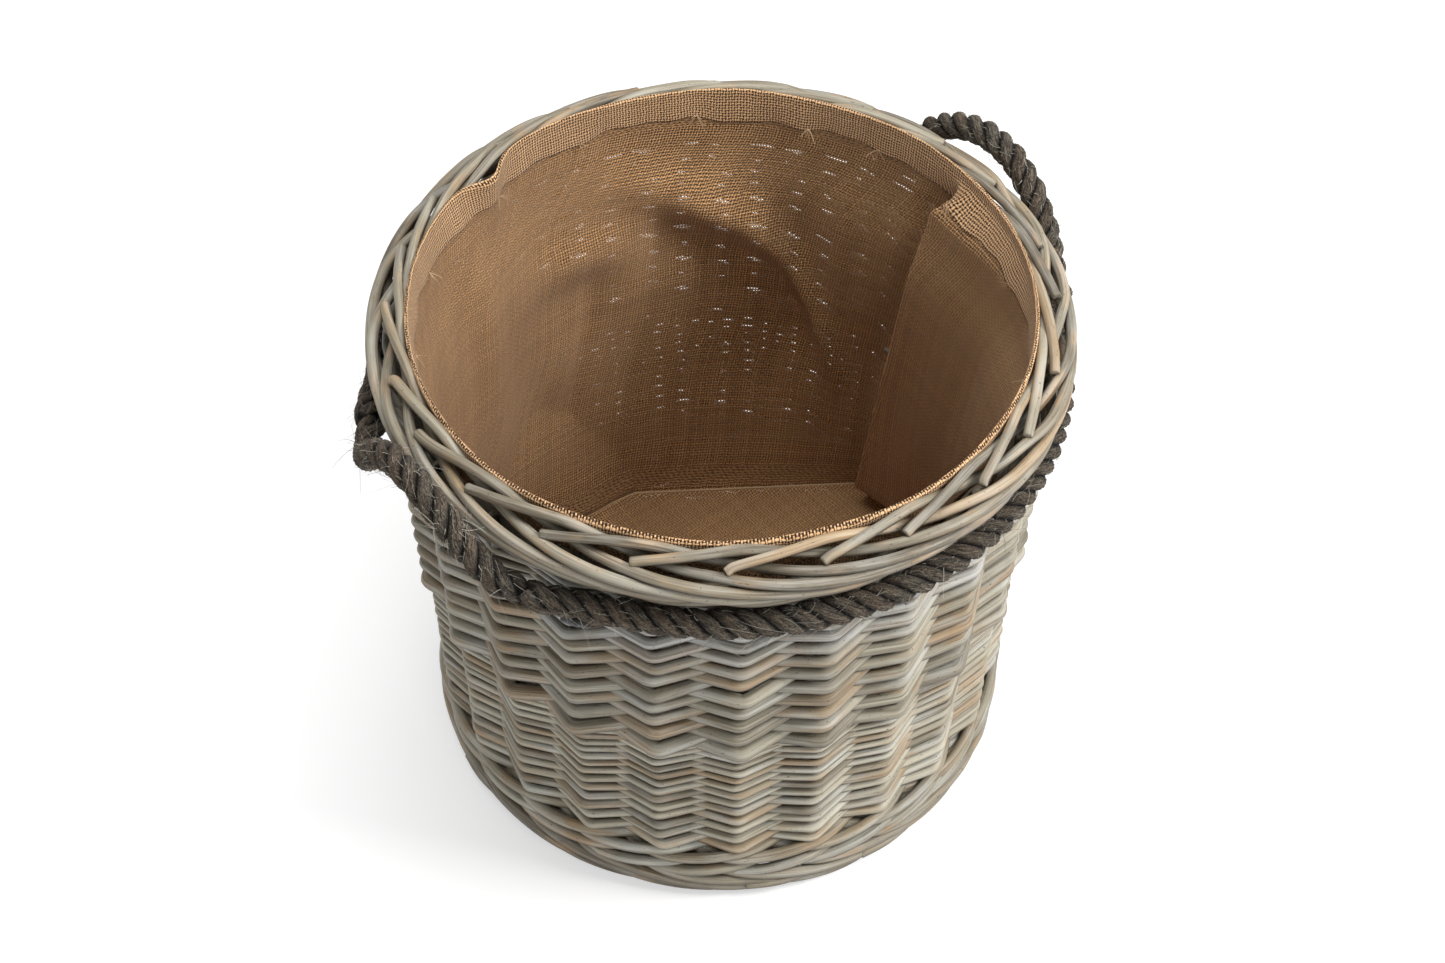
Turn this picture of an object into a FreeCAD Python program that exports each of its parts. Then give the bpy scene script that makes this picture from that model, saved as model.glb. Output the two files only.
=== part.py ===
import FreeCAD, Part
import math
import os
import Sketcher
from FreeCAD import Placement, Rotation, Vector

# A round willow basket with a foot, a randed wall on hidden stakes, a rod border,
# a rope laid round it under the border that rises into two handles, and a hessian lining.
# Origin: centre of the foot, on the surface it stands on.  +Z up, the handles on -X and +X.

doc = FreeCAD.newDocument("willow_basket")
sizes = doc.addObject("Spreadsheet::Sheet", "Sizes")

# Driving dimensions, in mm, degrees and counts.
DRIVING = {
    "foot_radius": 229,
    "wall_radius": 248,
    "wall_thickness": 26,
    "foot_top": 24,
    "base_seat": 8,
    "foot_wale_top": 60,
    "lower_weave_top": 198,
    "upper_weave_top": 366,
    "groove_clearance": 0.5,
    "top_wale_width": 16.5,
    "rim_overhang": 9,
    "mouth_step": 6,
    "lower_tier_thickness": 17,
    "upper_tier_thickness": 16,
    "upper_tier_setback": 4,
    "border_bevel": 4,
    "stake_count": 24,
    "first_stake_angle": 11,
    "stake_diameter": 9,
    "stake_floor_gap": 6,
    "stake_clearance": 0.3,
    "stick_count": 6,
    "stick_diameter": 8,
    "stick_spacing": 14,
    "stick_end_gap": 6,
    "base_clearance": 0.4,
    "base_bed": 0.3,
    "liner_thickness": 2,
    "liner_gap": 0.6,
    "hem_thickness": 4,
    "hem_rise": 1,
    "rope_diameter": 20,
    "rope_gap": 0.3,
    "handle_half_angle": 20,
    "handle_foot_tuck": 5,
    "handle_foot_rise": 4,
    "rope_end_angle": -150,
    "rope_end_diameter": 8,
    "rope_end_length": 16,
}
for row, (word, number) in enumerate(DRIVING.items(), start=1):
    sizes.set(f"A{row}", word)
    sizes.set(f"B{row}", str(number))
    sizes.setAlias(f"B{row}", word)
doc.recompute()


def size(word):
    return float(sizes.get(word))


def cell(word):
    return f"Sizes.{word}"


# Heights and radii that follow from the driving ones, as expressions.
GROOVE_WIDTH = "(Sizes.rope_diameter + Sizes.groove_clearance)"
RIM_RADIUS = "(Sizes.wall_radius + Sizes.rim_overhang)"
MOUTH_RADIUS = "(Sizes.wall_radius - Sizes.wall_thickness + Sizes.mouth_step)"
GROOVE_TOP = f"(Sizes.upper_weave_top + {GROOVE_WIDTH})"
WALE_TOP = f"({GROOVE_TOP} + Sizes.top_wale_width)"
LOWER_TIER_TOP = f"({WALE_TOP} + Sizes.lower_tier_thickness)"
BORDER_TOP = f"({LOWER_TIER_TOP} + Sizes.upper_tier_thickness)"
BASE_THICKNESS = "(2 * Sizes.stick_diameter + 3 * Sizes.base_bed)"
BASE_TOP = f"(Sizes.foot_top + {BASE_THICKNESS})"

groove_width = size("rope_diameter") + size("groove_clearance")
wale_top = size("upper_weave_top") + groove_width + size("top_wale_width")


def outer_at(z_words):
    """The wall's outer radius at a height, as an expression: it widens evenly from foot to border."""
    spread = "(Sizes.wall_radius - Sizes.foot_radius)"
    return f"(Sizes.foot_radius + {spread} * {z_words} / {WALE_TOP})"


def inner_at(z_words):
    return f"({outer_at(z_words)} - Sizes.wall_thickness)"


def stake_line_at(z_words):
    return f"({outer_at(z_words)} - Sizes.wall_thickness / 2)"


def outer_radius(z):
    spread = size("wall_radius") - size("foot_radius")
    return size("foot_radius") + spread * z / wale_top


def stake_line_radius(z):
    return outer_radius(z) - size("wall_thickness") / 2


def axis_plane(body, role):
    return next(f for f in body.Origin.OriginFeatures if f.Role == role)


def turned_ring(name, corners):
    """A PartDesign body: a closed profile of (radius, height) expressions, turned about Z."""
    body = doc.addObject("PartDesign::Body", name)
    sketch = body.newObject("Sketcher::SketchObject", name + "_profile")
    sketch.AttachmentSupport = (axis_plane(body, "XZ_Plane"), [""])
    sketch.MapMode = "FlatFace"
    doc.recompute()
    places = [Vector(value_of(r), value_of(z), 0) for r, z in corners]
    count = len(places)
    for i in range(count):
        sketch.addGeometry(Part.LineSegment(places[i], places[(i + 1) % count]), False)
    for i in range(count):
        sketch.addConstraint(Sketcher.Constraint("Coincident", i, 2, (i + 1) % count, 1))
    for i, (r, z) in enumerate(corners):
        for kind, words, value in (("DistanceX", r, places[i].x), ("DistanceY", z, places[i].y)):
            if words == "0":
                other = "PointOnObject"
                line = -2 if kind == "DistanceX" else -1
                sketch.addConstraint(Sketcher.Constraint(other, i, 1, line))
                continue
            number = sketch.addConstraint(Sketcher.Constraint(kind, -1, 1, i, 1, value))
            sketch.renameConstraint(number, f"{'r' if kind == 'DistanceX' else 'z'}{i}")
            sketch.setExpression(f"Constraints.{'r' if kind == 'DistanceX' else 'z'}{i}", words)
    turn = body.newObject("PartDesign::Revolution", name + "_turned")
    turn.Profile = sketch
    turn.ReferenceAxis = (sketch, ["V_Axis"])
    turn.Angle = 360
    doc.recompute()
    return body


def value_of(words):
    """The number that an expression of the sheet's cells gives now."""
    return float(sizes.evalExpression(words.replace("Sizes.", "")))


def cylinder(name, radius_words, length, place):
    rod = doc.addObject("Part::Cylinder", name)
    rod.setExpression("Radius", radius_words)
    rod.Height = length
    rod.Placement = place
    return rod


def compound(name, members):
    group = doc.addObject("Part::Compound", name)
    group.Links = members
    return group


def cut(name, base, tool):
    result = doc.addObject("Part::Cut", name)
    result.Base = base
    result.Tool = tool
    return result


def radial(radius, degrees, z):
    turn = math.radians(degrees)
    return Vector(radius * math.cos(turn), radius * math.sin(turn), z)


# --- Stakes: straight rods that lean out with the wall, and the holes that hold them --------------
stake_low, stake_high = size("stake_floor_gap"), wale_top - size("stake_clearance") * 2
stake_count = int(size("stake_count"))
stakes, stake_holes = [], []
for i in range(stake_count):
    angle = size("first_stake_angle") + 360.0 * i / stake_count
    low = radial(stake_line_radius(stake_low), angle, stake_low)
    high = radial(stake_line_radius(stake_high), angle, stake_high)
    place = Placement(low, Rotation(Vector(0, 0, 1), high - low))
    stakes.append(cylinder(f"stake_{i + 1:02d}", "Sizes.stake_diameter / 2", (high - low).Length, place))
    hole_low = low - (high - low).normalize() * size("stake_clearance")
    hole_place = Placement(hole_low, place.Rotation)
    hole_length = (high - low).Length + size("stake_floor_gap")
    hole_radius = "Sizes.stake_diameter / 2 + Sizes.stake_clearance"
    stake_holes.append(cylinder(f"stake_hole_{i + 1:02d}", hole_radius, hole_length, hole_place))
holes = compound("stake_holes", stake_holes)


def wall_ring(name, low, high):
    """A ring of the wall between two heights, with its outer and inner faces on the wall's taper."""
    corners = [(inner_at(low), low), (outer_at(low), low), (outer_at(high), high), (inner_at(high), high)]
    return cut(name, turned_ring(name + "_blank", corners), holes)


# --- Foot and wall ------------------------------------------------------------------------------
FOOT_TOP = cell("foot_top")
FOOT_INNER = f"({inner_at(FOOT_TOP)} - Sizes.base_seat)"
foot_blank = turned_ring("foot_border_blank", [
    (f"({FOOT_INNER} + Sizes.border_bevel)", "0"),
    (f"({cell('foot_radius')} - Sizes.border_bevel)", "0"),
    (outer_at("Sizes.border_bevel"), cell("border_bevel")),
    (outer_at(FOOT_TOP), FOOT_TOP),
    (FOOT_INNER, FOOT_TOP),
    (FOOT_INNER, cell("border_bevel")),
])
foot_border = cut("foot_border", foot_blank, holes)
foot_wale = wall_ring("foot_wale", FOOT_TOP, cell("foot_wale_top"))
lower_weave = wall_ring("lower_weave", cell("foot_wale_top"), cell("lower_weave_top"))
upper_weave = wall_ring("upper_weave", cell("lower_weave_top"), cell("upper_weave_top"))
top_wale = cut("top_wale", turned_ring("top_wale_blank", [
    (MOUTH_RADIUS, GROOVE_TOP),
    (outer_at(GROOVE_TOP), GROOVE_TOP),
    (cell("wall_radius"), WALE_TOP),
    (MOUTH_RADIUS, WALE_TOP),
]), holes)

# Behind the rope the weave is one rod thick: its inner half only, up to the line of the stakes.
groove_weave = cut("groove_weave", turned_ring("groove_weave_blank", [
    (inner_at(cell("upper_weave_top")), cell("upper_weave_top")),
    (stake_line_at(cell("upper_weave_top")), cell("upper_weave_top")),
    (stake_line_at(GROOVE_TOP), GROOVE_TOP),
    (MOUTH_RADIUS, GROOVE_TOP),
]), holes)

# --- Border: the stakes' tops, bent down and plaited in two tiers -------------------------------
UPPER_OUTER = f"({RIM_RADIUS} - Sizes.upper_tier_setback)"
BEVEL = "Sizes.border_bevel"
border_lower_tier = turned_ring("border_lower_tier", [
    (MOUTH_RADIUS, WALE_TOP),
    (f"({RIM_RADIUS} - {BEVEL})", WALE_TOP),
    (RIM_RADIUS, f"({WALE_TOP} + {BEVEL})"),
    (RIM_RADIUS, LOWER_TIER_TOP),
    (MOUTH_RADIUS, LOWER_TIER_TOP),
])
border_upper_tier = turned_ring("border_upper_tier", [
    (MOUTH_RADIUS, LOWER_TIER_TOP),
    (UPPER_OUTER, LOWER_TIER_TOP),
    (UPPER_OUTER, f"({BORDER_TOP} - {BEVEL})"),
    (f"({UPPER_OUTER} - {BEVEL})", BORDER_TOP),
    (MOUTH_RADIUS, BORDER_TOP),
])

# --- Base: two layers of sticks, crossed, in a woven disc that lies on the foot -----------------
BASE_RADIUS = f"({inner_at(FOOT_TOP)} - Sizes.base_clearance)"
base_disc = turned_ring("base_disc", [
    ("0", FOOT_TOP), (BASE_RADIUS, FOOT_TOP), (BASE_RADIUS, BASE_TOP), ("0", BASE_TOP),
])
base_radius = value_of(BASE_RADIUS)
stick_radius = size("stick_diameter") / 2
stick_count = int(size("stick_count"))
stick_sets = {}
stick_beds = []
for level, (name, turn) in enumerate((("base_sticks_under", 0), ("base_sticks_over", 90))):
    z = size("foot_top") + size("base_bed") * (1 + level) + stick_radius * (1 + 2 * level)
    members = []
    for i in range(stick_count):
        side = (i - (stick_count - 1) / 2) * size("stick_spacing")
        half = math.sqrt(base_radius**2 - (abs(side) + stick_radius) ** 2) - size("stick_end_gap")
        spin = Rotation(Vector(0, 0, 1), turn)
        lie = spin.multiply(Rotation(Vector(0, 0, 1), Vector(1, 0, 0)))
        start = spin.multVec(Vector(-half, side, 0)) + Vector(0, 0, z)
        place = Placement(start, lie)
        members.append(cylinder(f"{name}_{i + 1}", "Sizes.stick_diameter / 2", 2 * half, place))
        bed_start = start - lie.multVec(Vector(0, 0, size("base_bed")))
        bed_words = "Sizes.stick_diameter / 2 + Sizes.base_bed / 3"
        bed_length = 2 * (half + size("base_bed"))
        stick_beds.append(cylinder(f"{name}_bed_{i + 1}", bed_words, bed_length, Placement(bed_start, lie)))
    stick_sets[name] = compound(name, members)
base_weave = cut("base_weave", base_disc, compound("stick_beds", stick_beds))

# --- Hessian lining -----------------------------------------------------------------------------
HESSIAN = "Sizes.liner_thickness"
HEM_OUTER = f"({MOUTH_RADIUS} - Sizes.liner_gap)"


def liner_outer(z_words):
    return f"({inner_at(z_words)} - Sizes.liner_gap)"


UPPER_TOP = cell("upper_weave_top")
LINER_LOW = f"({BASE_TOP} + Sizes.base_bed)"
liner_wall = turned_ring("liner_wall", [
    (f"({liner_outer(LINER_LOW)} - {HESSIAN})", LINER_LOW),
    (liner_outer(LINER_LOW), LINER_LOW),
    (liner_outer(UPPER_TOP), UPPER_TOP),
    (HEM_OUTER, GROOVE_TOP),
    (HEM_OUTER, WALE_TOP),
    (f"({HEM_OUTER} - {HESSIAN})", WALE_TOP),
    (f"({HEM_OUTER} - {HESSIAN})", GROOVE_TOP),
    (f"({liner_outer(UPPER_TOP)} - {HESSIAN})", UPPER_TOP),
])
FLOOR_RADIUS = f"({liner_outer(LINER_LOW)} - {HESSIAN})"
liner_floor = turned_ring("liner_floor", [
    ("0", LINER_LOW),
    (FLOOR_RADIUS, LINER_LOW),
    (FLOOR_RADIUS, f"({LINER_LOW} + {HESSIAN})"),
    ("0", f"({LINER_LOW} + {HESSIAN})"),
])
HEM_INNER = f"({HEM_OUTER} - Sizes.hem_thickness)"
HEM_TOP = f"({BORDER_TOP} + Sizes.hem_rise)"
liner_hem = turned_ring("liner_hem", [
    (HEM_INNER, WALE_TOP), (HEM_OUTER, WALE_TOP), (HEM_OUTER, HEM_TOP), (HEM_INNER, HEM_TOP),
])

# --- Rope: one laid rope, in four stretches -----------------------------------------------------
rope_radius = size("rope_diameter") / 2
band_z = size("upper_weave_top") + groove_width / 2
band_clearance = 3 * size("rope_gap")
band_radius = stake_line_radius(band_z) + size("stake_diameter") / 2 + rope_radius + band_clearance
foot_angle = size("handle_half_angle")
foot_z = band_z + size("handle_foot_rise")
foot_radius = value_of(RIM_RADIUS) + rope_radius - size("handle_foot_tuck")
hinge_x = foot_radius * math.cos(math.radians(foot_angle))

# Routes of the handles from foot to foot: share of the half angle, distance out from the radius
# of the feet, and height over them.
RIGHT_ROUTE = [
    (-0.897, 4.1, 5), (-0.776, 7, 18), (-0.623, 7, 31), (-0.406, 6.9, 44),
    (-0.149, 7.1, 53), (0.128, 7, 55), (0.384, 7.1, 50), (0.611, 7.3, 38),
    (0.786, 7.3, 22), (0.902, 4.3, 7),
]
LEFT_ROUTE = [
    (0.897, 4.1, 4), (0.779, 6, 13), (0.602, 6.6, 27), (0.363, 7.4, 45),
    (0.096, 7.8, 56), (-0.158, 9.6, 57), (-0.375, 13.6, 47), (-0.526, 17.4, 31),
    (-0.664, 16.6, 15), (-0.824, 9.4, 4),
]

# Share of the shorter of two runs that the bend between them uses up.
BEND_SHARE = 0.45


def bent_path(points):
    """Straight runs joined by tangent arcs, each as large as its two runs allow."""
    edges, at, radii = [], points[0], []
    for before, here, after in zip(points, points[1:], points[2:]):
        back, ahead = (before - here), (after - here)
        shorter = min(back.Length, ahead.Length)
        back.normalize()
        ahead.normalize()
        half_turn = (math.pi - back.getAngle(ahead)) / 2
        reach = BEND_SHARE * shorter
        radius = reach / math.tan(half_turn)
        start, end = here + back * reach, here + ahead * reach
        bisector = (back + ahead).normalize()
        middle = here + bisector * (radius / math.cos(half_turn) - radius)
        edges.append(Part.LineSegment(at, start).toShape())
        edges.append(Part.Arc(start, middle, end).toShape())
        at = end
        radii.append(radius)
    edges.append(Part.LineSegment(at, points[-1]).toShape())
    return Part.Wire(edges), radii


def rope_tube(name, points, round_ends):
    """A plain tube along the points, with ball ends where it turns about its feet."""
    path, radii = bent_path(points)
    section = Part.Wire(Part.Circle(points[0], points[1] - points[0], rope_radius).toShape())
    tube = path.makePipeShell([section], True, True)
    expected = math.pi * rope_radius**2 * path.Length
    print(f"{name}: length {path.Length:.1f} mm, volume {tube.Volume / expected:.4f} of section x length,"
          f" bend radii {min(radii):.0f} to {max(radii):.0f} mm")
    if abs(tube.Volume / expected - 1) > 0.01:
        raise ValueError(f"{name}: the tube's volume doesn't match its length")
    if round_ends:
        for end in (points[0], points[-1]):
            tube = tube.fuse(Part.makeSphere(rope_radius, end))
    rope = doc.addObject("Part::Feature", name)
    rope.Shape = tube
    rope.Placement = Placement()
    return rope


def handle_points(route, middle):
    """From foot to foot about the angle of the handle's middle."""
    first = math.copysign(1, route[0][0])
    stations = [(first, 0, 0), *route, (-first, 0, 0)]
    return [
        radial(foot_radius + out, middle + share * foot_angle, foot_z + up) for share, out, up in stations
    ]


handle_rope_right = rope_tube("handle_rope_right", handle_points(RIGHT_ROUTE, 0), True)
handle_rope_left = rope_tube("handle_rope_left", handle_points(LEFT_ROUTE, 180), True)

# Each band leaves its groove before it meets a handle: angle past the handle's foot, share of the
# way out.  Past the last of these by LEAD_END degrees it lies in the groove, in BAND_RUNS even runs.
BAND_LEAD = [(3.5, 0.92), (7, 0.55), (10.5, 0.16)]
LEAD_END = 4.5
BAND_RUNS = 14


def band_points(turn):
    clear = math.degrees((rope_radius + 2 * size("rope_gap")) / foot_radius)
    lead = [(clear, 1.0), *BAND_LEAD]
    first = foot_angle + lead[-1][0] + LEAD_END
    plain = [first + (180 - 2 * first) * i / BAND_RUNS for i in range(BAND_RUNS + 1)]
    run_out = foot_radius - band_radius
    stations = [(foot_angle + angle, share) for angle, share in lead]
    stations += [(angle, 0.0) for angle in plain]
    stations += [(180 - angle, share) for angle, share in reversed(stations[: len(lead)])]
    return [
        radial(band_radius + share * run_out, turn + angle, band_z + share * size("handle_foot_rise"))
        for angle, share in stations
    ]


rope_band_back = rope_tube("rope_band_back", band_points(0), False)
rope_band_front = rope_tube("rope_band_front", band_points(180), False)

# The rope's cut end, bound with tape, lies along the wall just under the rope.
end_radius = size("rope_end_diameter") / 2
end_z = size("upper_weave_top") - end_radius - size("rope_gap")
end_place = radial(outer_radius(end_z) + end_radius + size("rope_gap"), size("rope_end_angle"), end_z)
end_along = radial(1, size("rope_end_angle") + 90, 0)
end_start = end_place - end_along * (size("rope_end_length") / 2)
rope_end_binding = cylinder(
    "rope_end_binding", "Sizes.rope_end_diameter / 2", size("rope_end_length"),
    Placement(end_start, Rotation(Vector(0, 0, 1), end_along)),
)

nodes = [
    *stakes, *stick_sets.values(), base_weave,
    foot_border, foot_wale, lower_weave, upper_weave, groove_weave, top_wale,
    border_lower_tier, border_upper_tier,
    liner_wall, liner_floor, liner_hem,
    rope_band_front, rope_band_back, rope_end_binding,
    handle_rope_right, handle_rope_left,
]

doc.recompute()
for thing in doc.Objects:
    if {"Invalid", "Error"} & set(thing.State):
        raise RuntimeError(f"{thing.Label} failed: {thing.State}")
for node in nodes:
    if node.Shape.isNull() or not node.Shape.isValid() or not node.Shape.Solids:
        raise RuntimeError(f"{node.Label} has no valid solid")

os.makedirs("parts", exist_ok=True)
for node in nodes:
    node.Shape.exportStep(f"parts/{node.Label}.step")
height = value_of(BORDER_TOP)
print(f"{len(nodes)} sub-parts; hinges at x = +-{hinge_x:.3f}, z = {foot_z:.3f} mm; height {height:.1f}")
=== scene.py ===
import math

import bpy
import numpy as np
from mathutils import Matrix, Vector


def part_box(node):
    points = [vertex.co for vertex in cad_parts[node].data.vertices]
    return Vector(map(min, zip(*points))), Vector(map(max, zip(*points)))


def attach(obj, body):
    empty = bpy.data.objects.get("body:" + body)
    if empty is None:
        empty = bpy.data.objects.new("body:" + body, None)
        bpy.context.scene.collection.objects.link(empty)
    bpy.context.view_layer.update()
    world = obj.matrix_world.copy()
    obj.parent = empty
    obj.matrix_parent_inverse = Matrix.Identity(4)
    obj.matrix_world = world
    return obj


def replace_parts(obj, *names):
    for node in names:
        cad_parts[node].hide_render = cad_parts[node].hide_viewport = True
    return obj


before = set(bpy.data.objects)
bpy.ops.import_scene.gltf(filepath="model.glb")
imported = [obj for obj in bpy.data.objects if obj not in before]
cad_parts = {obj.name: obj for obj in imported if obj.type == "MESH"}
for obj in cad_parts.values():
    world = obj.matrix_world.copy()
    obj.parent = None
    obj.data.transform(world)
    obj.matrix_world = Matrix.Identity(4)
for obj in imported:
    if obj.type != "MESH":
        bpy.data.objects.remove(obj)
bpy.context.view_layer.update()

# A round willow basket: a randed wall on hidden stakes between a rolled foot and a plaited border,
# a dark laid rope round it that rises into two handles, and a loose hessian lining.
# Lengths in metres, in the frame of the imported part.

MM = 0.001
rng = np.random.default_rng(4521)

# --- Sizes that the frame gives ------------------------------------------------------------------
wale_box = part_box("top_wale")
foot_wale_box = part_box("foot_wale")
WALE_TOP = wale_box[1].z
WALL_RADIUS = wale_box[1].x
SLOPE = (WALL_RADIUS - foot_wale_box[1].x) / (WALE_TOP - foot_wale_box[1].z)
FOOT_RADIUS = WALL_RADIUS - SLOPE * WALE_TOP
FOOT_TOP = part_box("foot_border")[1].z
FOOT_WALE_TOP = foot_wale_box[1].z
LOWER_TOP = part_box("lower_weave")[1].z
UPPER_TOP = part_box("upper_weave")[1].z
GROOVE_TOP = wale_box[0].z
BORDER_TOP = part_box("border_upper_tier")[1].z
RIM_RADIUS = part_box("border_lower_tier")[1].x
HEM_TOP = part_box("liner_hem")[1].z
HEM_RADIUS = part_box("liner_hem")[1].x
FLOOR_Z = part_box("liner_floor")[1].z
FLOOR_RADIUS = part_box("liner_floor")[1].x
BASE_LOW, BASE_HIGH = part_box("base_weave")[0].z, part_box("base_weave")[1].z
BASE_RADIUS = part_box("base_weave")[1].x

STAKE_NODES = sorted(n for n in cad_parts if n.startswith("stake_"))
STAKES = len(STAKE_NODES)
STEP = 2 * math.pi / STAKES
first_low, first_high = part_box(STAKE_NODES[0])
FIRST_STAKE = math.atan2((first_low.y + first_high.y) / 2, (first_low.x + first_high.x) / 2)
STAKE_RADIUS = 4.5 * MM
WALL_HALF = 13 * MM


def outer(z):
    return FOOT_RADIUS + SLOPE * z


def stake_line(z):
    return outer(z) - WALL_HALF


def round_z(radius, angle, z):
    """Points on circles about Z, from arrays or numbers."""
    radius, angle, z = np.broadcast_arrays(radius, angle, z)
    return np.stack([radius * np.cos(angle), radius * np.sin(angle), z], -1).astype(float)


# --- Meshes ----------------------------------------------------------------------------------------
def add_mesh(name, points, faces, values, material, body="basket", flat_faces=()):
    """One object from points and faces; values are point attributes, a number or a vector each."""
    mesh = bpy.data.meshes.new(name)
    mesh.from_pydata(np.asarray(points).tolist(), [], faces)
    smooth = np.ones(len(mesh.polygons), bool)
    smooth[list(flat_faces)] = False
    mesh.polygons.foreach_set("use_smooth", smooth)
    for key, value in values.items():
        value = np.asarray(value, np.float32)
        kind = "FLOAT_VECTOR" if value.ndim == 2 else "FLOAT"
        store = mesh.attributes.new(key, kind, "POINT")
        store.data.foreach_set("vector" if value.ndim == 2 else "value", value.ravel())
    mesh.materials.append(material)
    mesh.update()
    piece = bpy.data.objects.new(name, mesh)
    bpy.context.scene.collection.objects.link(piece)
    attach(piece, body)
    return piece


def unit(v):
    return v / np.maximum(np.linalg.norm(v, axis=-1, keepdims=True), 1e-12)


def along_line(points):
    steps = np.linalg.norm(np.diff(points, axis=0), axis=1)
    return np.concatenate([[0], np.cumsum(steps)])


def line_frames(points, up=(0, 0, 1)):
    tangent = unit(np.gradient(points, axis=0))
    across = unit(np.cross(tangent, np.asarray(up, float)))
    return tangent, across, np.cross(across, tangent)


WORN_LENGTH = 0.22
WORN_WIDTH = 0.84


def rods(name, lines, material, sides=9, up=(0, 0, 1), body="basket", lobes=None, rough=0.0):
    """Many solid rods in one mesh. A line is (points, radii); its ends are cut and a little worn.
    lobes are ridges along a rod: their count, depth and lay; rough is a random share of the radius."""
    turn = np.linspace(0, 2 * math.pi, sides, endpoint=False)
    points, faces, grain, tint, under, flats = [], [], [], [], [], []
    first = 0
    for centre, radius in lines:
        centre = np.asarray(centre, float)
        radius = np.broadcast_to(np.asarray(radius, float), len(centre))
        tangent, across, over = line_frames(centre, up)
        centre = np.vstack([centre[0] - tangent[0] * radius[0] * WORN_LENGTH, centre,
                            centre[-1] + tangent[-1] * radius[-1] * WORN_LENGTH])
        across, over = (np.vstack([f[:1], f, f[-1:]]) for f in (across, over))
        radius = np.concatenate([[radius[0] * WORN_WIDTH], radius, [radius[-1] * WORN_WIDTH]])
        length = along_line(centre)
        ring = radius[:, None] * np.ones(sides)
        if lobes is not None:
            count, depth, lay = lobes
            ring = ring * (1 + depth * np.cos(count * (turn[None, :] - 2 * math.pi * length[:, None] / lay)))
        if rough:
            ring = ring * (1 + rough * rng.normal(0, 1, ring.shape))
        place = (centre[:, None, :] + across[:, None, :] * (ring * np.cos(turn))[..., None]
                 + over[:, None, :] * (ring * np.sin(turn))[..., None])
        shift = rng.uniform(0, 40)
        local = np.stack([ring * np.cos(turn), ring * np.sin(turn),
                          np.broadcast_to((length + shift)[:, None], ring.shape)], -1)
        count_rings = len(centre)
        index = first + np.arange(count_rings * sides).reshape(count_rings, sides)
        here, there = index[:-1], index[1:]
        quads = np.stack([here, np.roll(here, -1, 1), np.roll(there, -1, 1), there], -1).reshape(-1, 4)
        flats += [len(faces) + len(quads), len(faces) + len(quads) + 1]
        faces += quads.tolist() + [index[0][::-1].tolist(), index[-1].tolist()]
        points.append(place.reshape(-1, 3))
        grain.append(local.reshape(-1, 3))
        tint.append(np.full(count_rings * sides, rng.uniform(0, 1)))
        # under: how far a point faces down round its rod; the willow paints shade with it
        under.append(np.broadcast_to(-np.sin(turn), ring.shape).ravel())
        first += count_rings * sides
    values = {"grain": np.vstack(grain), "tint": np.concatenate(tint), "under": np.concatenate(under)}
    return add_mesh(name, np.vstack(points), faces, values, material, body, flats)


def rounded(corners, reach=0.07, samples=5, runs=2):
    """Straight runs between the corners, each corner eased over a share of its two runs."""
    corners = np.asarray(corners, float)
    line = [corners[0]]
    t = np.linspace(0, 1, samples)[:, None]
    share = np.linspace(0, 1, runs + 2)[1:-1, None]
    for before, here, after in zip(corners, corners[1:], corners[2:]):
        start, end = here + (before - here) * reach, here + (after - here) * reach
        line += list(line[-1] + (start - line[-1]) * share)
        line += list((1 - t) ** 2 * start + 2 * t * (1 - t) * here + t**2 * end)
    line += list(line[-1] + (corners[-1] - line[-1]) * share) + [corners[-1]]
    return np.array(line)


def smooth_through(stations, per_run=8):
    """A smooth line through the rows of stations (Catmull-Rom)."""
    rows = np.asarray(stations, float)
    rows = np.vstack([2 * rows[0] - rows[1], rows, 2 * rows[-1] - rows[-2]])
    line = []
    for a, b, c, d in zip(rows, rows[1:], rows[2:], rows[3:]):
        t = np.linspace(0, 1, per_run, endpoint=False)[:, None]
        line.append(b + 0.5 * t * (c - a + t * (2 * a - 5 * b + 4 * c - d + t * (3 * (b - c) + d - a))))
    return np.vstack([*line, rows[-2:-1]])


def grown(line, low, high, nodes=0.05):
    """Radii of a grown rod: even taper, slow waver, and small swellings where leaves grew."""
    length = along_line(line)
    share = length / length[-1]
    radius = low + (high - low) * share
    radius = radius * (1 + 0.03 * np.sin(length / 0.031 + rng.uniform(0, 6)))
    at = rng.uniform(0, 0.08)
    while at < length[-1]:
        radius = radius * (1 + nodes * np.exp(-(((length - at) / 0.0035) ** 2)))
        at += rng.uniform(0.07, 0.13)
    return radius


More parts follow.
